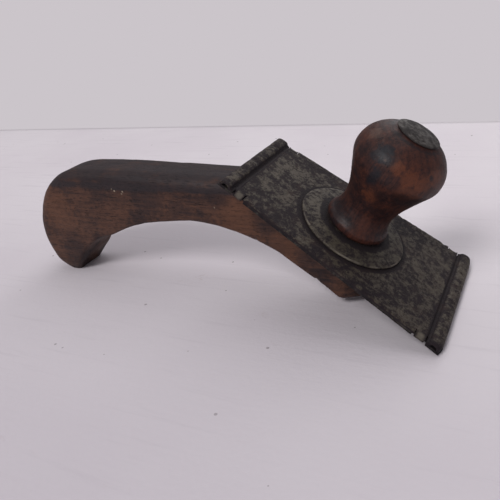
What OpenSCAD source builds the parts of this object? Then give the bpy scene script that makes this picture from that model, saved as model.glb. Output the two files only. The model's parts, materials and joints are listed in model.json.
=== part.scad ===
// Screw-clamped scraping hand plane with an arched wooden stock.
// The origin is the middle of the flat foot under the rear grip, on the bench.
// +X runs forward to the cutting edge, +Z is up, and the tool is symmetric about Y = 0.

/* [Stock] */
// Thickness of the board that the stock is sawn from
stock_w = 26; // [22:0.5:34]
// Length of the flat foot under the grip
foot_len = 8; // [6:0.5:12]
// Height of the grip's top above the bench
grip_top = 62; // [58:0.5:66]
// Height of the finger arch above the bench
arch_z = 37; // [33:0.5:39]
// Rounding of the grip's upper edges
top_round = 6.5; // [3:0.5:9]

/* [Bed] */
// Slope of the bed down to the cutting edge
bed_angle = 35; // [30:1:40]
// Distance from the foot to the clamp screw's axis, along the bench
screw_x = 167.5; // [164:0.5:172]
// Thickness of the stock between the bed and its underside
bed_thick = 24.4; // [22:0.2:27]

/* [Blade and cap] */
// Length of the cap plate down the slope
cap_len = 111; // [100:1:120]
// Width of the cap plate at its upper end
cap_w_top = 60; // [52:1:66]
// Width of the cap plate at the cutting edge
cap_w_low = 77; // [68:1:86]
// Thickness of the blade and of the cap's sheet
sheet = 1.2; // [0.8:0.1:1.6]
// Outer radius of the rolled bead at each end of the cap
bead_r = 2.7; // [2.2:0.1:3.4]
// How far each cutting edge stands out past the cap
edge_out = 1; // [0.4:0.1:2]
// How far the blade can be shifted each way
blade_shift = 1; // [0.5:0.1:1.5]

/* [Clamp] */
// Diameter of the pressure disc
disc_d = 50.8; // [44:0.2:56]
// Thickness of the pressure disc at its middle
disc_mid = 2.4; // [1.8:0.1:3.2]
// Thickness of the pressure disc at its rim
disc_rim = 1.4; // [1:0.1:1.8]
// Height of the turned knob
knob_h = 49; // [44:0.1:54]
// Greatest diameter of the turned knob
knob_d = 40.2; // [36:0.2:44]
// Diameter of the clamp screw, a coach bolt
bolt_d = 7.9; // [6:0.1:9]
// Diameter of the coach bolt's domed head
head_d = 18.8; // [17:0.2:22]

/* [Hidden] */
$fn = 96;

half_w = stock_w / 2;
edge_reach = cap_len / 2 + edge_out;
screw_z = edge_reach * sin(bed_angle);
cap_h = sheet;
cap_top = 2 * sheet;
knob_seat = cap_top + disc_mid;
head_seat = knob_seat + knob_h;

// Running clearance of the screw in its nut, and slack of loose fits.
run_fit = 0.05;
slack = 0.25;
nut_side = 14;
nut_thick = 6;
washer_r = 8.2;
washer_thick = 1.6;
cover_len = 26;
cover_w = 18;
cover_thick = 2;
cover_h = -bed_thick;
nut_h = cover_h + cover_thick;
washer_h = nut_h + nut_thick;
bolt_end = cover_h + 1;
screw_gap = 20.8;
screw_len = 6.5;
neck_side = 7.9;
neck_len = 5;

// Corner tabs: bent down from the cap's long edges, between two saw cuts.
tab_from_end = 7.5;
tab_len = 4.4;
tab_cut = 0.7;
tab_depth = 3;

eps = 0.01;

// Carries local shapes onto the bed: local Z is the screw's axis, local X runs down the slope.
module on_bed(h = 0) {
    translate([screw_x, 0, screw_z])
        rotate([0, bed_angle, 0])
            translate([0, 0, h])
                children();
}

// World position of a point s down the slope and h above the bed.
function bed_pt(s, h = 0) = [screw_x + s * cos(bed_angle) + h * sin(bed_angle),
                             screw_z - s * sin(bed_angle) + h * cos(bed_angle)];

// Catmull-Rom curve through points 1 to len-2, with n steps a span.
function blend(a, b, c, d, t) = 0.5 * (2 * b + (c - a) * t + (2 * a - 5 * b + 4 * c - d) * t * t
                                + (3 * b - a - 3 * c + d) * t * t * t);
function curve(p, n) = [for (i = [1 : len(p) - 3]) for (k = [0 : n - 1])
                        blend(p[i - 1], p[i], p[i + 1], p[i + 2], k / n)];

// ---------- stock ----------
toe_x = 177;
toe_z = 4;
toe_flat = 12;
heel_x = -16;
bed_gap = 0.05;
nose_z = screw_z - (toe_x - screw_x) * tan(bed_angle) - bed_gap / cos(bed_angle);
bed_head = bed_pt(-45.6, -bed_gap);
slab_low = bed_pt(12, -bed_thick);
slab_high = bed_pt(-21, -bed_thick);

// Side outline: from the foot's heel up the back, over the grip and down to the head of the bed.
back = curve([[4, -1], [-foot_len / 2, 0], [-8.8, 3.7], [-13.2, 11], [heel_x + 0.3, 20],
              [heel_x + 1, 30], [heel_x + 4.4, 40], [-4.6, 49.8], [4.5, 57],
              [15, grip_top - 1.2], [27, grip_top], [50, grip_top - 0.2],
              [80, grip_top - 1.2], [108, grip_top - 2.3], bed_head, [140, 56]], 4);
// From the foot of the slab, under the finger arch and down the front of the rear grip.
arch = curve([slab_low, slab_high, [126, 29.4], [115, arch_z - 3.6], [103, arch_z - 0.8],
              [90, arch_z], [74, arch_z - 1.2], [58, arch_z - 4], [43, arch_z - 9.2],
              [28.6, arch_z - 13.9], [17.8, arch_z - 20.7], [12, 9.8], [7.6, 4.9], [foot_len / 2, 0], [0, -4]], 4);

module side_outline() {
    polygon(concat(back,
                   [bed_head, [toe_x, nose_z], [toe_x, toe_z], [toe_x - toe_flat, toe_z], slab_low],
                   arch,
                   [[foot_len / 2, 0]]));
}

// Cross section of the grip, with its upper edges rounded.
module grip_section() {
    crown = grip_top + 0.4;
    translate([-half_w, -5])
        square([stock_w, crown - top_round + 5]);
    translate([-half_w + top_round, -5])
        square([stock_w - 2 * top_round, crown + 5]);
    for (s = [-1, 1])
        translate([s * (half_w - top_round), crown - top_round])
            circle(r = top_round);
}

// Outline seen from above: a half-round nose, and the heel's corners eased.
module plan_outline() {
    ease = 5;
    translate([toe_x - half_w, 0])
        circle(r = half_w);
    translate([heel_x + ease, -half_w - 1])
        square([toe_x - half_w - heel_x - ease, stock_w + 2]);
    translate([heel_x - 1, -half_w + ease])
        square([ease + 2, stock_w - 2 * ease]);
    for (s = [-1, 1])
        translate([heel_x + ease, s * (half_w - ease)])
            circle(r = ease);
}

module stock() {
    color("#6b3f24")
    difference() {
        intersection() {
            rotate([90, 0, 0])
                linear_extrude(stock_w + 4, center = true)
                    side_outline();
            translate([-60, 0, 0])
                rotate([90, 0, 90])
                    linear_extrude(300)
                        grip_section();
            translate([0, 0, -5])
                linear_extrude(grip_top + 10)
                    plan_outline();
        }
        // Clearance hole for the clamp screw.
        on_bed(-bed_thick - 5)
            cylinder(r = bolt_d / 2 + slack, h = bed_thick + 10);
        // Pocket for the square nut and its washer, and the rebate for the cover.
        on_bed(cover_h - 3)
            translate([-nut_side / 2 - slack / 2, -nut_side / 2 - slack / 2, 0])
                cube([nut_side + slack, nut_side + slack, washer_h - cover_h + 3]);
        on_bed(cover_h - 3)
            cylinder(r = washer_r + slack / 2, h = washer_h + washer_thick - cover_h + 3);
        on_bed(cover_h - 3)
            translate([-cover_len / 2 - slack / 2, -cover_w / 2 - slack / 2, 0])
                cube([cover_len + slack, cover_w + slack, cover_thick + 3]);
        // Pilot holes for the cover screws.
        for (s = [-1, 1])
            on_bed(nut_h - 1)
                translate([s * screw_gap / 2, 0, 0])
                    cylinder(r = 1.45, h = screw_len - cover_thick + 1.3);
    }
}

// ---------- blade and cap ----------
// Half width of the flared outline at a distance s down the slope.
function flare(s) = (cap_w_top + (cap_w_low - cap_w_top) * (s / cap_len + 0.5)) / 2;

// Flared outline between two distances down the slope, drawn in by a margin.
module flared(s0, s1, margin = 0) {
    polygon([[s0, -flare(s0) + margin], [s1, -flare(s1) + margin],
             [s1, flare(s1) - margin], [s0, flare(s0) - margin]]);
}

// Middle of each corner tab, as [distance down the slope, side].
tabs = [for (e = [-1, 1]) for (side = [-1, 1])
        [e * (cap_len / 2 - tab_from_end - tab_len / 2), side]];

module blade() {
    bevel = 2.6;
    tip = 0.12;
    notch = tab_len + 2 * blade_shift + slack;
    color("#77736b")
    on_bed()
    difference() {
        linear_extrude(sheet)
            flared(-edge_reach, edge_reach, 0.2);
        // Ground bevel on the upper face of both cutting edges.
        for (e = [-1, 1])
            scale([e, 1, 1])
                translate([edge_reach, 0, tip])
                    rotate([0, atan((sheet - tip) / bevel), 0])
                        translate([-3 * bevel, -50, 0])
                            cube([5 * bevel, 100, 4]);
        // Slot for the screw, long enough for the shift.
        for (s = [-1, 1])
            translate([s * blade_shift, 0, -1])
                cylinder(r = bolt_d / 2 + slack, h = sheet + 2);
        translate([-blade_shift, -bolt_d / 2 - slack, -1])
            cube([2 * blade_shift, bolt_d + 2 * slack, sheet + 2]);
        // Notches that the cap's corner tabs drop into.
        for (t = tabs)
            translate([t[0] - notch / 2, t[1] > 0 ? flare(t[0]) - 1.9 : -flare(t[0]) - 3.1, -1])
                cube([notch, 5, sheet + 2]);
    }
}

module cap_plate() {
    bead_s = cap_len / 2 - bead_r;
    color("#55504a")
    on_bed(cap_h)
    difference() {
        union() {
            // Flat sheet and the two rolled beads, trimmed to the flared outline.
            intersection() {
                union() {
                    translate([-bead_s, -50, 0])
                        cube([2 * bead_s, 100, sheet]);
                    for (e = [-1, 1])
                        translate([e * bead_s, 0, 0])
                            rotate([90, 0, 0])
                                cylinder(r = bead_r, h = 100, center = true);
                }
                linear_extrude(bead_r + 1)
                    flared(-cap_len / 2, cap_len / 2);
            }
            // Corner tabs, bent down beside the blade.
            for (t = tabs)
                translate([t[0] - tab_len / 2, t[1] > 0 ? flare(t[0]) - 1.5 : -flare(t[0]) + 0.4,
                           -sheet + 0.1])
                    cube([tab_len, 1.1, sheet + 0.2]);
        }
        // Hollow inside each bead.
        for (e = [-1, 1])
            translate([e * bead_s, 0, 0])
                rotate([90, 0, 0])
                    cylinder(r = bead_r - sheet, h = 100, center = true);
        // Creased groove beside each bead.
        for (e = [-1, 1])
            translate([e * (bead_s - bead_r - 0.9), 0, sheet + 0.55])
                rotate([90, 0, 0])
                    cylinder(r = 1, h = 100, center = true);
        // Saw cuts each side of the corner tabs.
        for (t = tabs)
            for (c = [-1, 1])
                translate([t[0] + c * (tab_len + tab_cut) / 2 - tab_cut / 2,
                           t[1] > 0 ? flare(t[0]) - tab_depth : -flare(t[0]) - 2,
                           -sheet])
                    cube([tab_cut, tab_depth + 2, 3 * sheet]);
        translate([0, 0, -1])
            cylinder(r = bolt_d / 2 + slack, h = sheet + 2);
    }
}

// ---------- clamp ----------
module pressure_disc() {
    color("#4d4a45")
    on_bed(cap_top)
    rotate_extrude()
        polygon([[bolt_d / 2 + slack, 0],
                 [disc_d / 2 - 0.3, 0],
                 [disc_d / 2, 0.3],
                 [disc_d / 2, disc_rim - 0.4],
                 [disc_d / 2 - 0.4, disc_rim],
                 [15.5, disc_mid],
                 [bolt_d / 2 + slack, disc_mid]]);
}

// Turned profile: rounded foot, narrow waist, swelling head and rolled-in top.
module knob_profile() {
    r = knob_d / 2;
    side = curve([[13, -1], [13.4, 0], [14.6, 1.6], [14.6, 3.6], [13, 6.1], [12.2, 9.3], [12.1, 13],
                  [13.3, 18], [15.3, 23], [r * 0.885, 28.5], [r * 0.98, 32.8], [r, 36.2],
                  [r * 0.945, 40.3], [r * 0.81, 44.3], [head_d / 2 + 1.6, knob_h - 1],
                  [head_d / 2 - 0.2, knob_h], [head_d / 2 - 3, knob_h]], 3);
    polygon(concat([[0, 0]], side, [[head_d / 2 - 0.2, knob_h], [0, knob_h]]));
}

module knob() {
    color("#7a3d22")
    on_bed(knob_seat)
    difference() {
        rotate_extrude()
            knob_profile();
        translate([0, 0, -1])
            cylinder(r = bolt_d / 2 + run_fit, h = knob_h + 2);
        translate([-neck_side / 2 - run_fit, -neck_side / 2 - run_fit, knob_h - neck_len - run_fit])
            cube([neck_side + 2 * run_fit, neck_side + 2 * run_fit, neck_len + 1]);
    }
}

module bolt() {
    dome = 1;
    rim = 0.7;
    dome_r = (pow(head_d / 2, 2) + dome * dome) / (2 * dome);
    color("#5f5f58")
    union() {
        // Shank down to the nut.
        on_bed(bolt_end)
            cylinder(r = bolt_d / 2, h = head_seat - bolt_end + rim / 2);
        // Square neck that keys the bolt to the knob.
        on_bed(head_seat - neck_len)
            translate([-neck_side / 2, -neck_side / 2, 0])
                cube([neck_side, neck_side, neck_len + rim / 2]);
        // Domed head.
        on_bed(head_seat) {
            cylinder(r = head_d / 2, h = rim);
            intersection() {
                translate([0, 0, rim + dome - dome_r])
                    sphere(r = dome_r);
                translate([0, 0, rim - eps])
                    cylinder(r = head_d / 2, h = dome + 1);
            }
        }
    }
}

// ---------- nut and its cover ----------
module nut() {
    color("#5a564f")
    on_bed(nut_h)
    difference() {
        translate([-nut_side / 2, -nut_side / 2, 0])
            cube([nut_side, nut_side, nut_thick]);
        translate([0, 0, -1])
            cylinder(r = bolt_d / 2 + run_fit, h = nut_thick + 2);
    }
}

module nut_washer() {
    color("#67635b")
    on_bed(washer_h)
    difference() {
        cylinder(r = washer_r, h = washer_thick);
        translate([0, 0, -1])
            cylinder(r = bolt_d / 2 + slack, h = washer_thick + 2);
    }
}

module nut_cover() {
    color("#57534c")
    on_bed(cover_h)
    difference() {
        translate([-cover_len / 2, -cover_w / 2, 0])
            cube([cover_len, cover_w, cover_thick]);
        translate([0, 0, -1])
            cylinder(r = bolt_d / 2 + slack, h = cover_thick + 2);
        for (s = [-1, 1])
            translate([s * screw_gap / 2, 0, 0]) {
                translate([0, 0, -1])
                    cylinder(r = 1.7, h = cover_thick + 2);
                translate([0, 0, -eps])
                    cylinder(r1 = 3.05, r2 = 1.7, h = 1.4);
            }
    }
}

module cover_screws() {
    color("#6d685f")
    for (s = [-1, 1])
        on_bed(cover_h)
            translate([s * screw_gap / 2, 0, 0])
                difference() {
                    union() {
                        cylinder(r1 = 2.9, r2 = 1.4, h = 1.5);
                        cylinder(r = 1.4, h = screw_len);
                    }
                    translate([-4, -0.35, -1])
                        cube([8, 0.7, 1.6]);
                }
}

stock();
blade();
cap_plate();
pressure_disc();
knob();
bolt();
nut();
nut_washer();
nut_cover();
cover_screws();
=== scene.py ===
import json
import math

import bmesh
import bpy
from mathutils import Matrix, Vector, noise


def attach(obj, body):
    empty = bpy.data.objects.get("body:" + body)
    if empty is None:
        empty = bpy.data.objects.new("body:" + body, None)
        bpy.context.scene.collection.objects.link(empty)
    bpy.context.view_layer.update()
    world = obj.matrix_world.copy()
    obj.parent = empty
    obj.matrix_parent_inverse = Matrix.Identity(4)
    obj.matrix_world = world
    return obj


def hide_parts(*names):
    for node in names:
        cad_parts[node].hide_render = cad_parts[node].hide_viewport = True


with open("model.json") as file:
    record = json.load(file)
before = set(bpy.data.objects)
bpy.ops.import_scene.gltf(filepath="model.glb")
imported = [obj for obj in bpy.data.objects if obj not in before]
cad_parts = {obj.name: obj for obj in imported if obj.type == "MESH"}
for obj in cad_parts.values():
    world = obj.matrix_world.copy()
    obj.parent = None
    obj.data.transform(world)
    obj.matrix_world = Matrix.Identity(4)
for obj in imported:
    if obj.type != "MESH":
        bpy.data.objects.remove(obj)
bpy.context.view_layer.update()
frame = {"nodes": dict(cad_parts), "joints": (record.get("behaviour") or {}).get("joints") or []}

mm = 0.001

# ---------------------------------------------------------------- view
# The camera looks down at the tool from its front right, a little tilted in the hand.
# Its lens is a phone's, and everything from the cutting edge to the heel is sharp.
yaw, pitch, roll = math.radians(-30.52), math.radians(25.56), math.radians(-8.9)
focal, image_width, sensor = 578.4, 500, 36
forward = Vector((math.cos(pitch) * math.sin(yaw), math.cos(pitch) * math.cos(yaw), -math.sin(pitch)))
level = Vector((math.cos(yaw), -math.sin(yaw), 0))
rise = level.cross(forward)
right = level * math.cos(roll) + rise * math.sin(roll)
up = rise * math.cos(roll) - level * math.sin(roll)
camera_data = bpy.data.cameras.new("camera")
camera_data.sensor_width = sensor
camera_data.lens = focal / image_width * sensor
camera = bpy.data.objects.new("camera", camera_data)
camera.matrix_world = Matrix((
    (right.x, up.x, -forward.x, 247.4 * mm),
    (right.y, up.y, -forward.y, -225.1 * mm),
    (right.z, up.z, -forward.z, 143.0 * mm),
    (0, 0, 0, 1)))
bpy.context.scene.collection.objects.link(camera)
bpy.context.scene.camera = camera
bpy.context.scene.view_settings.view_transform = "Standard"


# ---------------------------------------------------------------- bench and light
# A bench top brushed with several coats of off-white paint, with grit, dents and rust smears in it,
# lit by a broad window in front and to the left, and by pale walls and a ceiling all round.
def tint(red, green, blue):
    """A paint-card colour, 0 to 255, as the linear colour a socket takes."""
    card = (red, green, blue)
    return (*((c / 255 / 12.92 if c < 11 else ((c / 255 + 0.055) / 1.055) ** 2.4) for c in card), 1)


def add(tree, kind, inputs=None, **settings):
    """Adds a node; an input given as a socket is linked, and any other is set."""
    node = tree.nodes.new(kind)
    for key, value in settings.items():
        setattr(node, key, value)
    for key, value in (inputs or {}).items():
        if isinstance(value, bpy.types.NodeSocket):
            tree.links.new(value, node.inputs[key])
        else:
            node.inputs[key].default_value = value
    return node


def cloud(tree, place, scale, detail=3.0, rough=0.5, bend=0.0):
    """Soft noise between 0 and 1."""
    return add(tree, "ShaderNodeTexNoise", {"Vector": place, "Scale": scale, "Detail": detail,
                                            "Roughness": rough, "Distortion": bend}).outputs["Fac"]


def stretch(tree, place, scale):
    """The place, scaled along each axis, for a pattern that runs one way."""
    return add(tree, "ShaderNodeMapping", {"Vector": place, "Scale": scale}).outputs["Vector"]


def band(tree, value, low, high):
    """Mask that eases from 0 at low to 1 at high."""
    return add(tree, "ShaderNodeMapRange", {"Value": value, "From Min": low, "From Max": high},
               interpolation_type="SMOOTHSTEP").outputs["Result"]


def calc(tree, work, first, second=0.0):
    """One sum on two numbers."""
    return add(tree, "ShaderNodeMath", {0: first, 1: second}, operation=work).outputs[0]


def mixed(tree, amount, under, over, way="MIX"):
    """The colour over, laid on the colour under by the amount."""
    return add(tree, "ShaderNodeMix", {0: amount, 6: under, 7: over},
               data_type="RGBA", blend_type=way).outputs[2]


def new_material(name):
    """A named material; gives its tree, its shader and the place on the piece."""
    material = bpy.data.materials.new(name)
    material.use_nodes = True
    tree = material.node_tree
    place = add(tree, "ShaderNodeTexCoord").outputs["Object"]
    return material, tree, tree.nodes["Principled BSDF"], place


def relief(tree, surface, height, depth):
    """Raises the height as a bump, depth in metres."""
    bump = add(tree, "ShaderNodeBump", {"Height": height, "Distance": depth, "Strength": 1.0})
    tree.links.new(bump.outputs["Normal"], surface.inputs["Normal"])


bench_back = 0.296
bench_paint, tree, surface, place = new_material("bench_paint")
coats = band(tree, cloud(tree, place, 7.0, 4.0), 0.35, 0.65)
tone = mixed(tree, coats, tint(222, 216, 221), tint(229, 224, 228))
strokes = cloud(tree, stretch(tree, place, (14, 220, 14)), 1.0, 4.0, 0.6)
brushed = calc(tree, "MULTIPLY", band(tree, strokes, 0.56, 0.72), 0.25)
tone = mixed(tree, brushed, tone, tint(188, 182, 188))
smear = calc(tree, "MULTIPLY", band(tree, cloud(tree, place, 19.0, 5.0, 0.7, 0.6), 0.62, 0.75),
             band(tree, cloud(tree, place, 160.0, 4.0, 0.75), 0.50, 0.66))
tone = mixed(tree, calc(tree, "MULTIPLY", smear, 0.50), tone, tint(150, 122, 104))
grains = add(tree, "ShaderNodeTexVoronoi", {"Vector": place, "Scale": 62.0}).outputs["Distance"]
grit = calc(tree, "LESS_THAN", grains, 0.045)
tone = mixed(tree, calc(tree, "MULTIPLY", grit, 0.75), tone, tint(86, 72, 68))
# Painted shade: the bench is painted darker towards the front and lighter towards the back.
behind = add(tree, "ShaderNodeSeparateXYZ", {"Vector": place}).outputs["Y"]
painted_front_shade = calc(tree, "MULTIPLY", band(tree, behind, 0.22, -0.25), 0.75)
tone = mixed(tree, painted_front_shade, tone, tint(186, 180, 187))
# Painted shadow: a darker line along the bench's back edge, where it meets the wall.
painted_wall_shadow = calc(tree, "MULTIPLY", band(tree, behind, bench_back - 0.008, bench_back), 0.5)
tone = mixed(tree, painted_wall_shadow, tone, tint(150, 146, 148))
tree.links.new(tone, surface.inputs["Base Color"])
surface.inputs["Roughness"].default_value = 0.55
relief(tree, surface, calc(tree, "ADD", strokes, cloud(tree, place, 420.0, 2.0)), 0.00012)

top = bmesh.new()
bmesh.ops.create_grid(top, x_segments=4, y_segments=4, size=0.5)
for corner in top.verts:
    corner.co = (corner.co.x * 6, bench_back + (corner.co.y - 0.5) * 4, 0)
bench_mesh = bpy.data.meshes.new("bench")
top.to_mesh(bench_mesh)
top.free()
bench = bpy.data.objects.new("bench", bench_mesh)
bench.data.materials.append(bench_paint)
bpy.context.scene.collection.objects.link(bench)

room = bpy.data.worlds.new("room")
room.use_nodes = True
tree = room.node_tree
glow = tree.nodes["Background"]
glow.inputs["Color"].default_value = tint(226, 222, 230)
glow.inputs["Strength"].default_value = 0.34
wall = add(tree, "ShaderNodeBackground", {"Color": tint(203, 197, 202), "Strength": 1.0})
seen = add(tree, "ShaderNodeMixShader", {0: add(tree, "ShaderNodeLightPath").outputs["Is Camera Ray"],
                                         1: glow.outputs[0], 2: wall.outputs[0]})
tree.links.new(seen.outputs[0], tree.nodes["World Output"].inputs["Surface"])
bpy.context.scene.world = room

lamps = [("window", 0.8, 33.0, (-0.20, -1.75, 1.75)),
         ("ceiling", 1.5, 6.5, (0.10, 0.50, 1.3)),
         ("far_window", 1.2, 5.5, (0.20, 1.70, 0.95))]
for name, size, power, stand in lamps:
    lamp_data = bpy.data.lights.new(name, "AREA")
    lamp_data.size, lamp_data.energy, lamp_data.color = size, power, (1.0, 0.975, 0.98)
    lamp = bpy.data.objects.new(name, lamp_data)
    aim = Vector((0.11, 0, 0.03)) - Vector(stand)
    lamp.matrix_world = Matrix.Translation(stand) @ aim.to_track_quat("-Z", "Y").to_matrix().to_4x4()
    bpy.context.scene.collection.objects.link(lamp)


# ---------------------------------------------------------------- stock
# One piece of close-grained hardwood an inch thick, sawn to a humped grip over a finger arch, with a
# sloping bed at its front. It was shaped with rasp and knife, then darkened by oil and by hands, and
# painted shade below the cap's edge and under the arch darkens it further.
swivel = next(joint for joint in frame["joints"] if joint["name"] == "cap_swivel")
screw_foot = Vector(swivel["pos_m"])
screw_way = Vector(swivel["axis"]).normalized()
bed = Matrix((
    (screw_way.z, 0, screw_way.x, screw_foot.x),
    (0, 1, 0, 0),
    (-screw_way.x, 0, screw_way.z, screw_foot.z),
    (0, 0, 0, 1)))
off_bed = bed.inverted()


def on_bed(down, across, out):
    """A point down the slope, across it and out from the bed, in mm."""
    return bed @ Vector((down * mm, across * mm, out * mm))


def bed_side(down, out=0.0):
    """The same point as a pair, x and z in mm, on the stock's side face."""
    point = on_bed(down, 0, out)
    return point.x / mm, point.z / mm


def shaped_grid(columns, rows, place_of):
    """A flat grid whose corners are moved to place_of(column, row), in mm."""
    sheet = bmesh.new()
    bmesh.ops.create_grid(sheet, x_segments=columns, y_segments=rows, size=0.5)
    for corner in sheet.verts:
        point = place_of(round((corner.co.x + 0.5) * columns), round((corner.co.y + 0.5) * rows))
        corner.co = Vector(point) * mm
    return sheet


def close_up(shape):
    """Joins the seam, fills the open ends and turns the faces outwards."""
    bmesh.ops.remove_doubles(shape, verts=shape.verts, dist=1e-6)
    bmesh.ops.holes_fill(shape, edges=[edge for edge in shape.edges if edge.is_boundary], sides=0)
    bmesh.ops.recalc_face_normals(shape, faces=shape.faces)


def press_in(shape, depth_of):
    """Sinks each corner into the surface by depth_of(place in mm), in mm."""
    shape.normal_update()
    for corner, depth in [(c, depth_of(c.co / mm)) for c in shape.verts]:
        corner.co -= corner.normal * depth * mm


def new_piece(name, shape, body, node, material, crease=35):
    """Makes a bmesh the piece that stands for a CAD node."""
    mesh = bpy.data.meshes.new(name)
    shape.to_mesh(mesh)
    shape.free()
    mesh.shade_smooth()
    mesh.set_sharp_from_angle(angle=math.radians(crease))
    mesh.materials.append(material)
    piece = bpy.data.objects.new(name, mesh)
    bpy.context.scene.collection.objects.link(piece)
    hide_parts(node)
    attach(piece, body)
    return piece


def carve(shape, tool):
    """Cuts the closed tool out of the closed shape, then drops flakes back to back and loose flaps."""
    blocks = []
    for part in (shape, tool):
        mesh = bpy.data.meshes.new("blank")
        part.to_mesh(mesh)
        part.free()
        blocks.append(bpy.data.objects.new("blank", mesh))
        bpy.context.scene.collection.objects.link(blocks[-1])
    cut = blocks[0].modifiers.new("cut", "BOOLEAN")
    cut.object, cut.solver = blocks[1], "MANIFOLD"
    done = blocks[0].evaluated_get(bpy.context.evaluated_depsgraph_get())
    left = bmesh.new()
    left.from_mesh(done.to_mesh())
    bmesh.ops.triangulate(left, faces=left.faces)
    bmesh.ops.remove_doubles(left, verts=left.verts, dist=1e-6)
    twins = {}
    for face in left.faces:
        twins.setdefault(frozenset(face.verts), []).append(face)
    flakes = [face for faces in twins.values() if len(faces) > 1 for face in faces]
    bmesh.ops.delete(left, geom=flakes, context="FACES_ONLY")
    flaps = [face for face in left.faces if any(edge.is_boundary for edge in face.edges)
             and any(len(edge.link_faces) > 2 for edge in face.edges)]
    bmesh.ops.delete(left, geom=flaps, context="FACES")
    for block in blocks:
        bpy.data.meshes.remove(block.data)
    return left


def block(shape, low, high, frame_of=bed):
    """Adds a box between two corners in mm, in the bed's own directions."""
    middle = Matrix.Translation([(a + b) / 2 * mm for a, b in zip(low, high)])
    size = Matrix.Diagonal([(b - a) * mm for a, b in zip(low, high)] + [1])
    return bmesh.ops.create_cube(shape, size=1, matrix=frame_of @ middle @ size)["verts"]


def rod(shape, radius, low, high, down=0.0, across=0.0):
    """Adds a round rod square to the bed, from low to high, in mm."""
    middle = bed @ Matrix.Translation((down * mm, across * mm, (low + high) / 2 * mm))
    bmesh.ops.create_cone(shape, cap_ends=True, segments=64, radius1=radius * mm, radius2=radius * mm,
                          depth=(high - low) * mm, matrix=middle)


half_board, bolt_hole = 13.0, 4.2
stock_columns, stock_rows, bed_column = 320, 100, 290
stations = [Vector((*upper, *lower)) for upper, lower in [
    ((-3.4, 0), (4, 0)), ((-8.5, 3.6), (7.6, 4.9)), ((-13, 11), (12, 9.8)),
    ((-15.6, 20), (17.8, 16.3)), ((-15, 30), (28.6, 23.1)), ((-11.6, 40), (38, 25.8)),
    ((-4.6, 49.8), (43, 27.8)), ((4.5, 57), (50, 30.6)), ((15, 60.8), (58, 33)),
    ((27, 62), (64, 34.4)), ((50, 61.8), (74, 35.8)), ((80, 60.8), (90, 37)),
    ((108, 59.7), (103, 36.2)), ((130.2, 58.5), (115, 33.4)), ((138, 53.1), (126, 29.4)),
    (bed_side(-21), bed_side(-21, -24.4)), (bed_side(-10), bed_side(-10, -24.4)),
    (bed_side(0), bed_side(0, -24.4)), (bed_side(5), bed_side(5, -24.4)),
    ((174.5, 27.4), (163, 5)), ((176.9, 25.7), (165, 4)), ((176.9, 15), (169, 4)), ((176.9, 8), (173, 4)),
    ((176.9, 4.5), (176, 4))]]


def smooth_run(points, count):
    """Evenly spaced points on the smooth curve through the given ones."""
    fine = []
    for i in range(len(points) - 1):
        a, b, c, d = (points[min(max(i + k, 0), len(points) - 1)] for k in (-1, 0, 1, 2))
        for step in range(20):
            t = step / 20
            fine.append(0.5 * (2 * b + (c - a) * t + (2 * a - 5 * b + 4 * c - d) * t * t
                               + (3 * b - a - 3 * c + d) * t ** 3))
    fine.append(points[-1])
    far = [0.0]
    for a, b in zip(fine, fine[1:]):
        far.append(far[-1] + (b - a).length)
    out, k = [], 0
    for i in range(count + 1):
        goal = far[-1] * i / count
        while k < len(far) - 2 and far[k + 1] < goal:
            k += 1
        out.append(fine[k].lerp(fine[k + 1], (goal - far[k]) / (far[k + 1] - far[k])))
    return out


stock_run = smooth_run(stations, stock_columns)
flat_top, round_top, wall_foot, round_foot, under = 6, 14, 38, 44, 50  # rows where the section turns
foot_long, foot_high, foot_pinch = 20, 9, 0.28
nose_start, nose_long = 164, 13.2
bed_top, bed_gap = -45.6, 0.06


def stock_point(column, row):
    """A point on the rounded section, from the crown (row 0) round by one side to the underside."""
    ux, uz, lx, lz = stock_run[column]
    deep = math.hypot(lx - ux, lz - uz)
    crown = 0.8 if column > bed_column else 6.5 - 5.7 * min(1, max(0, (ux - 116) / 12))
    crown = min(crown, 0.42 * deep)
    belly = min(2.4, 0.3 * deep)
    side, row = (1, row) if row <= under else (-1, stock_rows - row)
    if row <= flat_top:
        across, drop = (half_board - crown) * row / flat_top, 0
    elif row <= round_top:
        turn = (row - flat_top) / (round_top - flat_top) * math.pi / 2
        across, drop = half_board - crown + crown * math.sin(turn), crown - crown * math.cos(turn)
    elif row <= wall_foot:
        across = half_board
        drop = crown + (deep - crown - belly) * (row - round_top) / (wall_foot - round_top)
    elif row <= round_foot:
        turn = (row - wall_foot) / (round_foot - wall_foot) * math.pi / 2
        across, drop = half_board - belly + belly * math.cos(turn), deep - belly + belly * math.sin(turn)
    else:
        across, drop = (half_board - belly) * (under - row) / (under - round_foot), deep
    x, z = ux + (lx - ux) * drop / deep, uz + (lz - uz) * drop / deep
    if x < foot_long and z < foot_high:
        across *= 1 - foot_pinch * (1 - z / foot_high) ** 2
    nose = max(0, (x - nose_start) / nose_long)
    point = off_bed @ (Vector((x, side * across * math.sqrt(1 - nose * nose), z)) * mm)
    if point.x > bed_top * mm:
        point.z = min(point.z, -bed_gap * mm)
    return (bed @ point) / mm


# Each nick's middle, reach and depth in mm.
nicks = [((46.4, -13, 52.9), 0.9, 0.45), ((48.1, -13, 52.1), 0.7, 0.35), ((52.3, -13, 50.6), 0.9, 0.5),
         ((53.2, -13, 51.8), 0.7, 0.35), ((106.5, -13, 45.9), 0.8, 0.3), ((96.5, -13, 43.3), 1.5, 0.4),
         ((125.8, -12.6, 30.0), 1.6, 0.8), ((154.3, -12.6, 12.6), 1.8, 1.0), ((31, 12.9, 47), 1.6, 0.5),
         ((88, 12.9, 52), 2.2, 0.4), ((142, 12.7, 24), 1.9, 0.9), ((70, -4, 60.8), 2.0, 0.3)]


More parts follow.
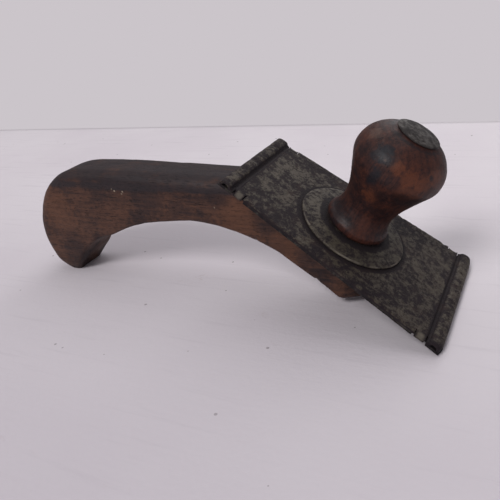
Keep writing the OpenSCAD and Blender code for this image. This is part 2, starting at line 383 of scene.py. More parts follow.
def stock_wear(place):
    """Hollows left by the rasp, fine ridges along the grain, and knocks."""
    local = off_bed @ (place * mm) / mm
    if local.z > -1.2 and local.x > -46:
        return 0.0
    sunk = 0.16 + 0.30 * noise.noise(place / 17) + 0.10 * noise.noise(place / 5.5 + Vector((9, 0, 0)))
    sunk += 0.05 * noise.noise(Vector((place.x / 9, place.y / 1.3, place.z / 1.3)))
    if local.z < -23 and abs(local.x) < 18:
        sunk *= 0.2
    for centre, reach, depth in nicks:
        gap = (place - Vector(centre)).length / reach
        if gap < 1:
            sunk += depth * (1 - gap * gap)
    return max(0.0, sunk)


body_shape = shaped_grid(stock_columns, stock_rows, stock_point)
close_up(body_shape)
press_in(body_shape, stock_wear)
hollow = bmesh.new()
block(hollow, (-13.1, -9.1, -26), (13.1, 9.1, -22.4))
body_shape = carve(body_shape, hollow)
hollow = bmesh.new()
rod(hollow, bolt_hole, -30, 4)
body_shape = carve(body_shape, hollow)
# Grime and painted shade on each corner: dirt and oil on the crown, a darker line where the crown rounds over
# to the sides, painted shadow of the cap's overhang just below the bed, and painted shade on the downward
# faces of the arch.
dirt_shade_layer = body_shape.verts.layers.float.new("grime_and_shade")
body_shape.normal_update()
for corner in body_shape.verts:
    x, y, z = corner.co / mm
    crown = min(1, max(0, (z - 51) / 8)) if x < 132 else 0
    break_line = math.exp(-((z - 54.2) / 1.7) ** 2) if abs(y) > 9 and -6 < x < 126 else 0
    local = off_bed @ corner.co / mm
    cap_overhang_shadow = math.exp(-((local.z + 0.5) / 3.2) ** 2) if local.x > -48 else 0
    arch_underside_shade = max(0, 1 - abs(corner.normal.y)) if corner.normal.z < 0 else 0
    corner[dirt_shade_layer] = min(1, 0.80 * crown + 0.55 * break_line + 0.5 * cap_overhang_shadow + 0.35 * arch_underside_shade)


def new_group(name, takes, gives):
    """Starts a shader node group; takes and gives map socket names to kinds."""
    tree = bpy.data.node_groups.new(name, "ShaderNodeTree")
    for socket, kind in takes.items():
        tree.interface.new_socket(socket, in_out="INPUT", socket_type="NodeSocket" + kind)
    for socket, kind in gives.items():
        tree.interface.new_socket(socket, in_out="OUTPUT", socket_type="NodeSocket" + kind)
    return tree, tree.nodes.new("NodeGroupInput").outputs, tree.nodes.new("NodeGroupOutput").inputs


# Grain along X: growth rings round a heart, long fibres, and short dark pores.
hardwood, takes, gives = new_group(
    "hardwood_grain",
    {"Vector": "Vector", "Heart": "Vector", "Pale": "Color", "Deep": "Color", "Pore": "Color"},
    {"Color": "Color", "Height": "Float", "Roughness": "Float"})
tree = hardwood
wander = cloud(tree, stretch(tree, takes["Vector"], (9, 34, 34)), 1.0, 3.0)
centred = add(tree, "ShaderNodeVectorMath", {0: takes["Vector"], 1: takes["Heart"]},
              operation="SUBTRACT").outputs[0]
radius = add(tree, "ShaderNodeVectorMath", {0: stretch(tree, centred, (0.04, 1, 1))},
             operation="LENGTH").outputs["Value"]
rings = calc(tree, "MULTIPLY", radius, 2500.0)
ring = calc(tree, "SINE", calc(tree, "ADD", rings, calc(tree, "MULTIPLY", wander, 24.0)))
ring = band(tree, ring, -1.0, 1.3)
figure = cloud(tree, stretch(tree, takes["Vector"], (16, 170, 170)), 1.0, 4.0, 0.6, 0.4)
fibre = cloud(tree, stretch(tree, takes["Vector"], (70, 1500, 1500)), 1.0, 3.0, 0.6)
mottle = cloud(tree, takes["Vector"], 62.0, 3.0, 0.55)
depth = calc(tree, "ADD", calc(tree, "MULTIPLY", ring, 0.05), calc(tree, "MULTIPLY", figure, 0.26))
depth = calc(tree, "ADD", depth, calc(tree, "MULTIPLY", fibre, 0.30))
depth = calc(tree, "ADD", depth, calc(tree, "MULTIPLY", mottle, 0.48))
speckle = cloud(tree, takes["Vector"], 360.0, 5.0, 0.7)
depth = calc(tree, "ADD", depth, calc(tree, "MULTIPLY", speckle, 0.40))
wood_tone = mixed(tree, band(tree, depth, 0.58, 0.92), takes["Pale"], takes["Deep"])
pores = band(tree, cloud(tree, stretch(tree, takes["Vector"], (260, 3400, 3400)), 1.0, 1.0), 0.63, 0.70)
wood_tone = mixed(tree, calc(tree, "MULTIPLY", pores, 0.7), wood_tone, takes["Pore"])
tree.links.new(wood_tone, gives["Color"])
tree.links.new(calc(tree, "SUBTRACT", calc(tree, "MULTIPLY", fibre, 0.7), pores), gives["Height"])
dull = add(tree, "ShaderNodeMapRange",
           {"Value": calc(tree, "ADD", figure, calc(tree, "MULTIPLY", pores, 0.3)),
            "From Min": 0.3, "From Max": 0.8, "To Min": 0.48, "To Max": 0.66}).outputs[0]
tree.links.new(dull, gives["Roughness"])

# A film of dirt and old oil, and on some pieces painted shade, laid where Amount is high and broken up by
# handling.
dirt_shade_film, takes, gives = new_group(
    "dirt_shade_film", {"Vector": "Vector", "Color": "Color", "Amount": "Float", "Film": "Color"},
    {"Color": "Color", "Mask": "Float"})
tree = dirt_shade_film
blotch = calc(tree, "MULTIPLY", cloud(tree, takes["Vector"], 70.0, 6.0, 0.62), 0.75)
streak = cloud(tree, stretch(tree, takes["Vector"], (150, 620, 620)), 1.0, 3.0)
patchy = calc(tree, "ADD", blotch, calc(tree, "MULTIPLY", streak, 0.25))
reach = calc(tree, "ADD", takes["Amount"], calc(tree, "MULTIPLY", calc(tree, "SUBTRACT", patchy, 0.5), 2.4))
mask = band(tree, reach, 0.22, 0.78)
tree.links.new(mixed(tree, calc(tree, "MULTIPLY", mask, 0.86), takes["Color"], takes["Film"]), gives["Color"])
tree.links.new(mask, gives["Mask"])


def near(tree, place, centre, reach, ragged=0.5):
    """Mask of a round patch, a stain or a painted highlight: 1 at its centre in metres, fading out ragged at
    its reach in mm.
    """
    gap = add(tree, "ShaderNodeVectorMath", {0: place, 1: centre}, operation="DISTANCE").outputs["Value"]
    edge = calc(tree, "SUBTRACT", cloud(tree, place, 480.0, 4.0, 0.6), 0.5)
    gap = calc(tree, "ADD", gap, calc(tree, "MULTIPLY", edge, 2 * ragged * reach * mm))
    return band(tree, gap, reach * mm, 0.35 * reach * mm)


def attribute(tree, name):
    """A value kept on the piece's corners: grime with painted shade, or a worn edge with a painted highlight.
    """
    return add(tree, "ShaderNodeAttribute", attribute_name=name).outputs["Fac"]


stock_wood, tree, surface, place = new_material("stock_wood")
grain = add(tree, "ShaderNodeGroup", {"Vector": place, "Heart": (0.0, 0.055, -0.060),
                                      "Pale": tint(84, 55, 41), "Deep": tint(38, 25, 25),
                                      "Pore": tint(22, 15, 16)}, node_tree=hardwood)
tone = grain.outputs["Color"]
warm = [((0.004, -0.013, 0.040), 17), ((0.118, -0.013, 0.040), 17), ((0.141, -0.013, 0.028), 15)]
for centre, reach in warm:
    stain = calc(tree, "MULTIPLY", near(tree, place, centre, reach, 0.9), 0.40)
    tone = mixed(tree, stain, tone, tint(104, 67, 45))
dark = [((0.070, -0.013, 0.048), 12), ((0.098, -0.013, 0.0425), 3.2), ((0.009, -0.013, 0.016), 12),
        ((0.158, -0.013, 0.0115), 6), ((0.060, -0.013, 0.037), 9), ((0.108, -0.013, 0.052), 9),
        ((0.132, -0.013, 0.041), 9), ((0.150, -0.013, 0.024), 7), ((0.036, -0.013, 0.050), 9),
        ((0.084, -0.013, 0.044), 7)]
for centre, reach in dark:
    stain = calc(tree, "MULTIPLY", near(tree, place, centre, reach, 0.9), 0.50)
    tone = mixed(tree, stain, tone, tint(28, 20, 24))
film = add(tree, "ShaderNodeGroup", {"Vector": place, "Color": tone, "Amount": attribute(tree, "grime_and_shade"),
                                     "Film": tint(40, 34, 37)}, node_tree=dirt_shade_film)
tone = film.outputs["Color"]
specks = [(46.4, 52.9), (48.1, 52.1), (52.3, 50.6), (53.2, 51.8), (106.5, 45.9)]
for x, z in specks:
    chip = near(tree, place, (x * mm, -0.013, z * mm), 0.75, 0.5)
    tone = mixed(tree, calc(tree, "MULTIPLY", chip, 0.8), tone, tint(188, 172, 150))
tree.links.new(tone, surface.inputs["Base Color"])
film_dull = calc(tree, "MULTIPLY", film.outputs["Mask"], 0.06)
tree.links.new(calc(tree, "ADD", grain.outputs["Roughness"], film_dull), surface.inputs["Roughness"])
surface.inputs["Specular IOR Level"].default_value = 0.32
rasped = cloud(tree, place, 300.0, 4.0, 0.6)
relief(tree, surface, calc(tree, "ADD", grain.outputs["Height"], rasped), 0.00016)
new_piece("stock_body_wood", body_shape, "stock_body", "stock", stock_wood)


# ---------------------------------------------------------------- blade
# A flared piece of saw-plate steel ground to an edge at both ends, notched for the cap's corner tabs
# and slotted for the screw so that it can be set out as it wears.
sheet_thick, cap_length, cap_narrow, cap_wide, edge_out = 1.2, 111.0, 60.0, 77.0, 1.0
ground, edge_thick, blade_rows = 2.6, 0.12, 64
notch_half, slot_half, slot_wide = 3.33, 5.2, 4.2


def flare(down):
    """Half the width of the cap's outline at a distance down the slope."""
    return (cap_narrow + (cap_wide - cap_narrow) * (down / cap_length + 0.5)) / 2


def spread(low, high, count):
    """Even steps from low up to, but not including, high."""
    return [low + (high - low) * i / count for i in range(count)]


tip = cap_length / 2 + edge_out
blade_top = sheet_thick - 0.04
bevel_rise = blade_top - edge_thick
blade_run = ([(s, 0.0) for s in spread(-tip, tip, 150)] + [(tip, 0.0), (tip, edge_thick)]
             + [(tip - ground * t, edge_thick + bevel_rise * t) for t in spread(0.2, 1.0, 4)]
             + [(s, blade_top) for s in spread(tip - ground, ground - tip, 90)]
             + [(ground - tip - ground * t, blade_top - bevel_rise * t) for t in spread(0.0, 1.0, 5)]
             + [(-tip, edge_thick), (-tip, 0.0)])


def corner_worn(s, y):
    """How far both corners of the lower end are worn back."""
    return max(0, s - 46) / 10 * 1.1 * abs(y / 38) ** 14


def blade_point(column, row):
    """A point round the blade's section, nicked along both cutting edges."""
    s, h = blade_run[column]
    side = row / blade_rows * 2 - 1
    y = (flare(s) - 0.2) * side
    if abs(s) > tip - 1.4:
        nick = max(0, noise.noise(Vector((y / 2.1, 7 if s > 0 else 3, 0))) - 0.18) * 0.9
        bite = min(0.45, nick + 0.05 + 0.05 * noise.noise(Vector((y * 1.3, s, 0))))
        s -= math.copysign(bite, s) * (abs(s) - tip + 1.4) / 1.4
    if row in (0, blade_rows):
        y -= side * max(0, 0.22 * noise.noise(Vector((s / 3.0, side, 4))))
    return on_bed(s - corner_worn(s, y), y, h) / mm


blade_shape = shaped_grid(len(blade_run) - 1, blade_rows, blade_point)
close_up(blade_shape)
tab_middle, tab_length, tab_saw, tab_deep = 45.8, 4.4, 0.7, 3.0
hollow = bmesh.new()
for s in (-tab_middle, tab_middle):
    for side in (-1, 1):
        low, high = sorted((side * (flare(s) - 1.9), side * (flare(s) + 3)))
        block(hollow, (s - notch_half, low, -1), (s + notch_half, high, 2.4))
slot = block(hollow, (-slot_half, -slot_wide, -1), (slot_half, slot_wide, 2.4))
hollow.verts.ensure_lookup_table()
bmesh.ops.bevel(hollow, geom=[e for e in {edge for corner in slot for edge in corner.link_edges}
                              if abs((off_bed.to_3x3() @ (e.verts[0].co - e.verts[1].co)).z) > 0.002],
                offset=3.15 * mm, offset_type="OFFSET", segments=8, profile=0.5, affect="EDGES",
                material=-1)
blade_shape = carve(blade_shape, hollow)

# Old steel: a dark skin of rust and oil worn through to duller grey metal in ragged flakes.
old_steel, takes, gives = new_group(
    "old_steel",
    {"Vector": "Vector", "Skin": "Color", "Metal": "Color", "Rust": "Color", "Bare": "Float",
     "Shade_and_grime": "Float"},
    {"Color": "Color", "Roughness": "Float", "Metallic": "Float", "Height": "Float"})
tree = old_steel
flakes = cloud(tree, takes["Vector"], 330.0, 10.0, 0.80, 0.1)
patches = cloud(tree, takes["Vector"], 58.0, 4.0, 0.55)
scrape = cloud(tree, stretch(tree, takes["Vector"], (900, 160, 900)), 1.0, 4.0, 0.65)
worn = calc(tree, "ADD", calc(tree, "MULTIPLY", flakes, 0.80), calc(tree, "MULTIPLY", patches, 0.34))
worn = calc(tree, "ADD", worn, calc(tree, "MULTIPLY", scrape, 0.10))
worn = calc(tree, "ADD", worn, calc(tree, "SUBTRACT", takes["Bare"], 0.5))
# The grime input, which carries grime and painted shade, covers bare metal here and darkens the colour
# further down.
worn = calc(tree, "SUBTRACT", worn, calc(tree, "MULTIPLY", takes["Shade_and_grime"], 0.35))
bare = band(tree, worn, 0.545, 0.675)
fleck = band(tree, cloud(tree, takes["Vector"], 1500.0, 3.0, 0.6), 0.35, 0.68)
rusted = band(tree, cloud(tree, takes["Vector"], 130.0, 4.0, 0.6), 0.52, 0.70)
skin = mixed(tree, calc(tree, "MULTIPLY", rusted, 0.55), takes["Skin"], takes["Rust"])
metal = mixed(tree, calc(tree, "MULTIPLY", fleck, 0.35), takes["Metal"], takes["Skin"])
steel_tone = mixed(tree, bare, skin, metal)
pores = add(tree, "ShaderNodeTexVoronoi", {"Vector": takes["Vector"], "Scale": 620.0, "Randomness": 1.0})
pits = band(tree, pores.outputs["Distance"], 0.30, 0.12)
pits = calc(tree, "MULTIPLY", pits, band(tree, cloud(tree, takes["Vector"], 170.0, 2.0), 0.50, 0.62))
steel_tone = mixed(tree, calc(tree, "MULTIPLY", pits, 0.75), steel_tone, tint(22, 18, 19))
steel_tone = mixed(tree, calc(tree, "MULTIPLY", takes["Shade_and_grime"], 0.6), steel_tone, tint(26, 22, 23))
tree.links.new(steel_tone, gives["Color"])
dull = add(tree, "ShaderNodeMapRange", {"Value": bare, "To Min": 0.74, "To Max": 0.50}).outputs[0]
tree.links.new(dull, gives["Roughness"])
tree.links.new(calc(tree, "MULTIPLY", bare, 0.42), gives["Metallic"])
rough = calc(tree, "ADD", calc(tree, "MULTIPLY", flakes, 0.8), calc(tree, "MULTIPLY", fleck, 0.25))
tree.links.new(calc(tree, "SUBTRACT", rough, calc(tree, "MULTIPLY", pits, 0.8)), gives["Height"])


def steel(name, skin, metal, rust, bare, depth, grime_and_shade=None):
    """A material of old steel with its own colours and share of bare metal."""
    material, tree, surface, place = new_material(name)
    inputs = {"Vector": place, "Skin": skin, "Metal": metal, "Rust": rust, "Bare": bare, "Shade_and_grime": 0.0}
    if grime_and_shade:
        inputs["Shade_and_grime"] = attribute(tree, grime_and_shade)
    coat = add(tree, "ShaderNodeGroup", inputs, node_tree=old_steel)
    tree.links.new(coat.outputs["Color"], surface.inputs["Base Color"])
    tree.links.new(coat.outputs["Roughness"], surface.inputs["Roughness"])
    tree.links.new(coat.outputs["Metallic"], surface.inputs["Metallic"])
    surface.inputs["Specular IOR Level"].default_value = 0.25
    relief(tree, surface, coat.outputs["Height"], depth)
    return material, tree, surface, place, coat


blade_steel = steel("blade_steel", tint(24, 19, 22), tint(70, 66, 60), tint(44, 32, 30), 0.45, 0.00008)[0]
new_piece("blade_plate", blade_shape, "iron", "blade", blade_steel, crease=25)


# ---------------------------------------------------------------- cap plate
# A flared sheet of iron with both ends rolled over into hollow beads and creased beside them. Its long
# edges are eaten and torn, and a tab sawn free at each corner is knocked down into the blade's notch.
bead_middle, bead_outer, bead_inner, crease_out = 52.8, 3.0, 1.6, 0.55
across_cap = 84
top_h = 2 * sheet_thick
crease_s = bead_middle - bead_outer - 0.9
crease_half = math.sqrt(1 - crease_out ** 2)


def bead_arc(side, radius, start, stop, count):
    """Points on the rolled bead at one end, between two angles."""
    turns = [math.radians(start + (stop - start) * i / count) for i in range(count + 1)]
    return [(side * bead_middle + radius * math.copysign(abs(math.cos(a)) ** 0.72, math.cos(a)),
             sheet_thick + radius * 0.80 * max(0, math.sin(a)) ** 0.72) for a in turns]


def crease_dip(side, count=8):
    """Points across the groove beside a bead, from low s to high s."""
    run = [(side * crease_s - crease_half + 2 * crease_half * i / count) for i in range(count + 1)]
    return [(s, top_h + crease_out - math.sqrt(max(0, 1 - (s - side * crease_s) ** 2))) for s in run]


cap_upper = (bead_arc(-1, bead_outer, 180, 22, 18) + crease_dip(-1)
             + [(s, top_h) for s in spread(-crease_s + crease_half + 0.4, crease_s - crease_half, 210)]
             + crease_dip(1) + bead_arc(1, bead_outer, 158, 0, 18))
under_end = spread(bead_middle + bead_outer, bead_middle + bead_inner, 4)
under_end = [(s, sheet_thick) for s in under_end] + bead_arc(1, bead_inner, 0, 180, 16)
under_end += [(s, sheet_thick) for s in spread(51.0, 48.6, 7)]
cap_lower = ([(-s, h) for s, h in under_end] + [(s, sheet_thick) for s, h in cap_upper[28:-28]]
             + under_end[::-1])
cap_rows = [-1 + 2 * i / across_cap for i in range(across_cap + 1)]
round_cap = 2 * len(cap_rows)


def torn(s, side):
    """How far the long edge is eaten away, most near the lower end."""
    low_end = min(1, max(0, (s + 5) / 50))
    ripple = max(0, noise.noise(Vector((s / 2.6, 5 * side, 1))) + 0.15) * (0.25 + 1.0 * low_end)
    bite = max(0, noise.noise(Vector((s / 6.5, 5 * side, 9))) - 0.22) * 3.0 * low_end
    return min(1.7, (ripple + bite) * (1.0 if side > 0 else 0.55))


def cap_point(column, row):
    """A point along the cap and round its section, with ragged edges and slack in the sheet."""
    upper = row < len(cap_rows) or row == round_cap
    s, h = (cap_upper if upper else cap_lower)[column]
    side = cap_rows[row % round_cap] if upper else cap_rows[round_cap - 1 - row]
    width = flare(s)
    y = width * side
    into = width - abs(y)
    if into < 4:
        y -= math.copysign(torn(s, math.copysign(1, side)) * (1 - into / 4) ** 1.5, side)
    if upper:
        dish = 0.10 + 0.11 * noise.noise(Vector((s / 14, y / 14, 0)))
        dish += 0.05 * noise.noise(Vector((s / 3.2, y / 3.2, 5)))
        pit = max(0, noise.noise(Vector((s / 1.5, y / 1.5, 2))) - 0.35) * 0.5
        sunk = max(0, dish) + min(0.22, pit) + (0.32 if into < 0.01 else 0)
        if abs(s) > 50.2:
            knock = max(0, noise.noise(Vector((y / 4.3, 2 if s > 0 else 8, 0))) - 0.05)
            sunk += 0.5 * knock * max(0, h - top_h)
        h -= sunk * min(1, h - sheet_thick)
    if abs(s) > bead_middle:
        knock = max(0, noise.noise(Vector((width * side / 4.3, 2 if s > 0 else 8, 0))) - 0.05)
        s -= math.copysign(0.35 * knock * (abs(s) - bead_middle) / 2.7, s)
    if abs(abs(s) - tab_middle) < 2.0 and into < 1.8:
        h -= min(0.75, 0.42 * (1.8 - into))
    return on_bed(s - corner_worn(s, y), y, h) / mm


cap_shape = shaped_grid(len(cap_upper) - 1, round_cap, cap_point)
close_up(cap_shape)
hollow = bmesh.new()
for number, (s, side) in enumerate([(s, side) for s in (-tab_middle, tab_middle) for side in (-1, 1)]):
    for end in (-1, 1):
        wide = 0.5 + 0.14 * ((number * 2 + end) % 3)
        middle = s + end * (tab_length + tab_saw) / 2
        low, high = sorted((side * (flare(s) - tab_deep - 0.3 * end), side * (flare(s) + 2)))
        block(hollow, (middle - wide / 2, low, -1), (middle + wide / 2, high, 5))
rod(hollow, bolt_hole, -1, 5)
cap_shape = carve(cap_shape, hollow)
for s in (-tab_middle, tab_middle):
    for side in (-1, 1):
        low, high = sorted((side * (flare(s) - 1.5), side * (flare(s) - 0.4)))
        tab = block(cap_shape, (s - tab_length / 2, low, 0.1), (s + tab_length / 2, high, 1.3))
        bmesh.ops.bevel(cap_shape, geom=list({edge for corner in tab for edge in corner.link_edges}),
                        offset=0.18 * mm, offset_type="OFFSET", segments=2, profile=0.5,
                        affect="EDGES", material=-1)
# Grime and painted shade: darker along the groove beside each bead, a painted shadow ring round the disc's
# edge, and painted shade on the underside and tabs where the cap lies on the blade.
rim = cap_shape.verts.layers.float.new("grime_and_shade")
for corner in cap_shape.verts:
    s, y, h = off_bed @ corner.co / mm
    groove = math.exp(-((abs(s) - crease_s) / 1.0) ** 2)
    ring = math.exp(-((math.hypot(s, y) - 26.0) / 0.9) ** 2)
    corner[rim] = min(1, 0.75 * groove + 0.9 * ring + (0.5 if h < 1.3 else 0))

cap_steel, tree, surface, place, coat = steel(
    "cap_steel", tint(30, 22, 26), tint(86, 79, 68), tint(54, 40, 36), 0.465, 0.00026, "grime_and_shade")
tone = coat.outputs["Color"]
# Each knocked-down tab is painted lighter: partly bright knocked metal, partly a painted highlight on its lit
# face.
for s in (-tab_middle, tab_middle):
    for side in (-1, 1):
        tab_polish_and_highlight = near(tree, place, on_bed(s, side * (flare(s) - 1.0), 1.6), 2.4, 0.5)
        tone = mixed(tree, calc(tree, "MULTIPLY", tab_polish_and_highlight, 0.55), tone, tint(112, 106, 95))
tree.links.new(tone, surface.inputs["Base Color"])
new_piece("cap_sheet", cap_shape, "cap", "cap_plate", cap_steel, crease=38)


# ---------------------------------------------------------------- pressure disc
# A thick washer two inches across, cut from plate and filed round, that spreads the knob's squeeze
# over the cap. It is thinner at the rim, slightly out of true, and has the same flaked skin.
def turned(profile, steps):
    """Turns a profile of (radius, height) in mm about the screw's axis."""
    shape = bmesh.new()
    ring = [shape.verts.new((radius * mm, 0, height * mm)) for radius, height in profile]
    line = [shape.edges.new(pair) for pair in zip(ring, ring[1:])]
    bmesh.ops.spin(shape, geom=ring + line, cent=(0, 0, 0), axis=(0, 0, 1), angle=2 * math.pi,
                   steps=steps, use_merge=True, use_duplicate=False)
    bmesh.ops.remove_doubles(shape, verts=shape.verts, dist=1e-6)
    bmesh.ops.recalc_face_normals(shape, faces=shape.faces)
    return shape


def onto_bed(shape, height):
    """Stands a turned shape on the bed at a height in mm."""
    bmesh.ops.transform(shape, matrix=bed @ Matrix.Translation((0, 0, height * mm)), verts=shape.verts)


disc_thick, rim_thick, rim_foot, rim_top, flat_r = 2.4, 1.44, 25.1, 24.5, 15.5
disc_rim = [(25.36, 0.2), (25.4, 0.5), (25.4, 0.85), (25.28, 1.12), (25.0, 1.32), (rim_top, rim_thick)]
disc_run = ([(bolt_hole + (rim_foot - bolt_hole) * i / 16, 0.0) for i in range(17)] + disc_rim
            + [(r, rim_thick + (disc_thick - rim_thick) * (rim_top - r) / (rim_top - flat_r))
               for r in spread(24.0, flat_r, 17)]
            + [(r, disc_thick) for r in spread(flat_r, bolt_hole, 20)]
            + [(bolt_hole, disc_thick), (bolt_hole, 0.0)])
disc_shape = turned(disc_run, 180)


def disc_wear(place):
    """Filing flats round the rim and a pitted face."""
    if place.z < 0.1:
        return 0.0
    across = math.hypot(place.x, place.y)
    sunk = 0.05 + 0.06 * noise.noise(place / 3.4) + max(0, noise.noise(place / 1.4) - 0.3) * 0.35
    if across > 24.4:
        turn = math.atan2(place.y, place.x)
        sunk += 0.14 + 0.14 * noise.noise(Vector((math.cos(turn) * 3, math.sin(turn) * 3, 2)))
    return max(0.0, min(0.4, sunk))


press_in(disc_shape, disc_wear)
# Grime and painted shade: a painted shadow ring round the knob's foot, and painted shade on the underside.
rim = disc_shape.verts.layers.float.new("grime_and_shade")
filed_highlight = disc_shape.verts.layers.float.new("filed_highlight")
for corner in disc_shape.verts:
    across = math.hypot(corner.co.x, corner.co.y) / mm
    step = math.exp(-((across - 15.6) / 1.3) ** 2)
    corner[rim] = min(1, 0.9 * step + (0.8 if corner.co.z < 0.3 * mm else 0))
    # The top of the rim: a worn bright edge and a painted highlight.
    corner[filed_highlight] = 1 if across > 24.7 and corner.co.z > 0.75 * mm else 0
onto_bed(disc_shape, top_h)
disc_steel, tree, surface, place, coat = steel(
    "disc_steel", tint(30, 23, 26), tint(86, 80, 69), tint(52, 40, 37), 0.480, 0.00022, "grime_and_shade")
# Painted highlight: the top of the rim is painted lighter in broken patches, partly a worn bright edge.
patchy_shine = band(tree, cloud(tree, place, 90.0, 4.0, 0.6), 0.42, 0.62)
shine = calc(tree, "MULTIPLY", attribute(tree, "filed_highlight"), patchy_shine)
tone = mixed(tree, calc(tree, "MULTIPLY", shine, 0.6), coat.outputs["Color"], tint(132, 125, 112))
tree.links.new(tone, surface.inputs["Base Color"])
new_piece("disc_plate", disc_shape, "clamp", "pressure_disc", disc_steel, crease=50)


# ---------------------------------------------------------------- knob
# Turned from the same hardwood with its grain along the screw: a rounded foot, a narrow waist and a
# swelling head rolled in round the bolt. Its red-brown varnish is rubbed and stained by ink and iron.
knob_seat = top_h + disc_thick
knob_tall, knob_face, knob_hole = 49.0, 48.95, 4.05
outline = [Vector(point) for point in [
    (13.2, 0.0), (14.2, 0.5), (14.6, 1.7), (14.6, 3.4), (13.9, 4.7), (13.0, 6.1), (12.2, 9.3),
    (12.1, 13), (13.3, 18), (15.3, 23), (17.8, 28.5), (19.7, 32.8), (20.0, 36.2), (19.0, 40.3),
    (16.3, 44.3), (13.2, 46.8), (10.8, 48.1), (9.4, 48.7)]]
knob_run = ([(knob_hole, 0.0), (8.0, 0.0), (11.0, 0.0)]
            + [tuple(point) for point in smooth_run(outline, 120)]
            + [(8.6, knob_face), (6.0, knob_face), (knob_hole, knob_face)]
            + [(knob_hole, h) for h in (40, 30, 20, 10, 0)])
knob_shape = turned(knob_run, 168)


def knob_wear(place):
    """Faint chatter from the turning tool, shrinkage across the grain, and knocks."""
    across = math.hypot(place.x, place.y)
    if across < 9.8:
        return 0.0
    sunk = 0.06 + 0.018 * math.sin(place.z * 3.1)
    sunk += 0.16 * (place.x / across) ** 2 + 0.12 * noise.noise(place / 8) + 0.05 * noise.noise(place / 2.1)
    if place.z < 5:
        sunk += 0.22 * max(0, noise.noise(place / 2.8))
    if 5.0 < place.z < 5.6:
        sunk += 0.08
    return max(0.0, sunk)


press_in(knob_shape, knob_wear)
# Grime and painted shade: darker round the waist and round the lip of the head, and painted shade on the
# bottom of the foot where it stands on the disc.
rim = knob_shape.verts.layers.float.new("grime_and_shade")
for corner in knob_shape.verts:
    h = corner.co.z / mm
    across = math.hypot(corner.co.x, corner.co.y) / mm
    waist = math.exp(-((h - 5.5) / 2.6) ** 2)
    lip = math.exp(-((across - 10.8) / 0.9) ** 2) * (h > 40)
    corner[rim] = min(1, 0.50 * waist + 0.55 * lip + 0.8 * max(0, 1 - h / 2.6))
onto_bed(knob_shape, knob_seat)

knob_wood, tree, surface, place = new_material("knob_wood")
turned_place = add(tree, "ShaderNodeMapping",
                   {"Vector": place, "Location": screw_foot, "Rotation": (0, math.radians(-55), 0)},
                   vector_type="TEXTURE").outputs[0]
grain = add(tree, "ShaderNodeGroup", {"Vector": turned_place, "Heart": (0.0, 0.016, -0.024),
                                      "Pale": tint(76, 43, 33), "Deep": tint(32, 20, 22),
                                      "Pore": tint(20, 14, 16)}, node_tree=hardwood)
tone = grain.outputs["Color"]


def lay_patches(tone, spots, colour, strength):
    """Lays patches of colour on the knob, stains and a painted highlight, each at (down, across, out, reach)
    in mm.
    """
    for down, across, out, reach in spots:
        mask = near(tree, place, on_bed(down, across, out), reach, 0.9)
        tone = mixed(tree, calc(tree, "MULTIPLY", mask, strength), tone, colour)
    return tone


warm = [(7.4, -18.5, 44.4, 5), (13.3, -14.8, 44.1, 5), (1.2, -19.4, 46.1, 4), (11, -17, 38, 7),
        (-2, -17, 27, 6), (14, -8, 46, 5)]
tone = lay_patches(tone, warm, tint(100, 56, 36), 0.60)
dark = [(9.6, -15.8, 34.5, 6), (3, -16, 31, 5), (4, -14, 22, 6), (-13, -13, 42, 4), (15, -11, 33, 6),
        (12, 14, 38, 9), (-12, 13, 30, 8)]
tone = lay_patches(tone, dark, tint(24, 17, 20), 0.70)
film = add(tree, "ShaderNodeGroup", {"Vector": place, "Color": tone, "Amount": attribute(tree, "grime_and_shade"),
                                     "Film": tint(28, 22, 25)}, node_tree=dirt_shade_film)
ink = [(-8.2, -17.0, 46.0, 4.6), (-4.2, -17.9, 46.2, 4.0), (-6.0, -16.1, 48.4, 3.6),
       (-4.8, -19.1, 38.6, 3.4), (-4.8, -18.6, 35.0, 3.4), (-9.5, -15.5, 50.5, 2.4), (14.6, -12, 47, 1.8)]
tone = lay_patches(film.outputs["Color"], ink, tint(25, 25, 31), 0.85)
# Painted highlight: lighter patches on the upper left of the head.
highlight_spots = [(-14.5, -9.5, 49.4, 4.5), (-4.5, -18.4, 45.6, 0.9), (-10, -13.5, 50.2, 1.6)]
tone = lay_patches(tone, highlight_spots, tint(96, 76, 66), 0.40)
tree.links.new(tone, surface.inputs["Base Color"])
tree.links.new(calc(tree, "SUBTRACT", grain.outputs["Roughness"], 0.04), surface.inputs["Roughness"])
surface.inputs["Specular IOR Level"].default_value = 0.24
coat = add(tree, "ShaderNodeMapRange", {"Value": cloud(tree, place, 95.0, 5.0, 0.6), "From Min": 0.40,
                                        "From Max": 0.62, "To Min": 0.0, "To Max": 0.11}).outputs[0]
tree.links.new(coat, surface.inputs["Coat Weight"])
surface.inputs["Coat Roughness"].default_value = 0.36
chatter = cloud(tree, place, 380.0, 4.0, 0.6)
relief(tree, surface, calc(tree, "ADD", grain.outputs["Height"], chatter), 0.00010)
new_piece("knob_turning", knob_shape, "knob_body", "knob", knob_wood, crease=60)


# ---------------------------------------------------------------- clamp bolt
# A coach bolt: a worn, shallow domed head let into the top of the knob, a square neck driven into the
# wood below it, and a shank threaded at its lower end for the nut in the stock.
head_seat, bolt_end, thread_top, thread_pitch = knob_seat + knob_tall, -23.4, -6, 1.411
head_r, shank_r = 9.4, 3.95
bolt_run = ([(0.0, bolt_end), (2.6, bolt_end), (3.4, bolt_end + 0.15)]
            + [(shank_r, h) for h in spread(bolt_end + 0.7, thread_top, 90)]
            + [(shank_r, h) for h in (thread_top, 0, 12, 24, 36, 48)] + [(shank_r, head_seat)]
            + [(9.1, head_seat), (head_r, head_seat + 0.2), (head_r, head_seat + 0.50),
               (head_r - 0.1, head_seat + 0.68), (head_r - 0.35, head_seat + 0.78)]
            + [(r, head_seat + 0.73 + 0.97 * (1 - (r / head_r) ** 2)) for r in spread(8.8, 0.0, 30)]
            + [(0.0, head_seat + 1.7)])
bolt_shape = turned(bolt_run, 144)


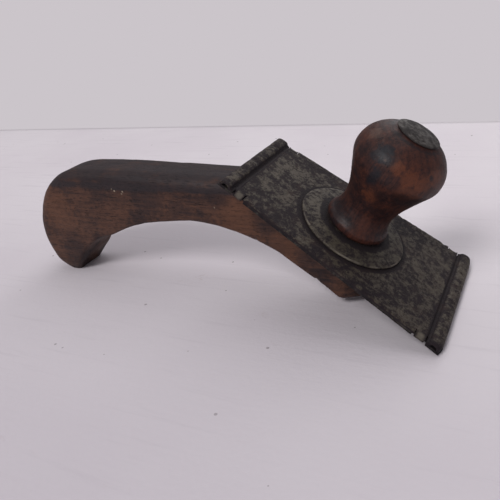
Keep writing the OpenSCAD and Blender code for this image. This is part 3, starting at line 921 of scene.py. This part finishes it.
def bolt_wear(place):
    """The thread's groove, a battered rim and a punch mark in the head."""
    across = math.hypot(place.x, place.y)
    if place.z < thread_top and across > 3.9:
        phase = (place.z / thread_pitch - math.atan2(place.y, place.x) / (2 * math.pi)) % 1
        return 0.55 * abs(2 * phase - 1) * min(1, (thread_top - place.z) / 1.4)
    if place.z < head_seat + 0.5:
        return 0.0
    sunk = 0.05 + 0.06 * noise.noise(place / 2.6) + 0.04 * noise.noise(place / 0.9)
    sunk += 0.22 * max(0, noise.noise(place / 3.3 + Vector((4, 4, 0)))) * min(1, across / 10) ** 3
    mark = math.hypot(place.x - 3.3, place.y + 6.3) / 0.75
    if mark < 1:
        sunk += 0.35 * (1 - mark * mark)
    return max(0.0, sunk)


press_in(bolt_shape, bolt_wear)
bmesh.ops.transform(bolt_shape, matrix=bed, verts=bolt_shape.verts)
block(bolt_shape, (-3.9, -3.9, head_seat - 5), (3.9, 3.9, head_seat - 0.05))
bolt_steel, tree, surface, place, coat = steel(
    "bolt_steel", tint(38, 34, 33), tint(78, 74, 70), tint(54, 45, 41), 0.50, 0.00010)
mark = near(tree, place, on_bed(3.3, -6.3, 56.3), 0.8, 0.3)
tone = mixed(tree, calc(tree, "MULTIPLY", mark, 0.8), coat.outputs["Color"], tint(24, 20, 20))
tree.links.new(tone, surface.inputs["Base Color"])
new_piece("bolt_coach", bolt_shape, "knob_body", "bolt", bolt_steel, crease=40)


# ---------------------------------------------------------------- nut, washer, cover plate and its screws
# A square nut and its washer sit in a pocket under the bed. A small iron plate let in flush and held by
# two slotted countersunk screws keeps them there; it has rusted more than the rest.
cover_steel = steel("cover_steel", tint(46, 37, 35), tint(88, 80, 74), tint(78, 50, 38), 0.46, 0.00020)[0]
screw_steel = steel("screw_steel", tint(44, 38, 36), tint(98, 92, 86), tint(70, 50, 42), 0.54, 0.00012)[0]
nut_steel = steel("nut_steel", tint(42, 36, 35), tint(84, 78, 74), tint(66, 46, 38), 0.48, 0.00014)[0]
finishes = [("nut_cover", cover_steel), ("cover_screws", screw_steel), ("nut", nut_steel),
            ("nut_washer", nut_steel)]
for name, material in finishes:
    for held in frame["nodes"][name].material_slots:
        held.material = material
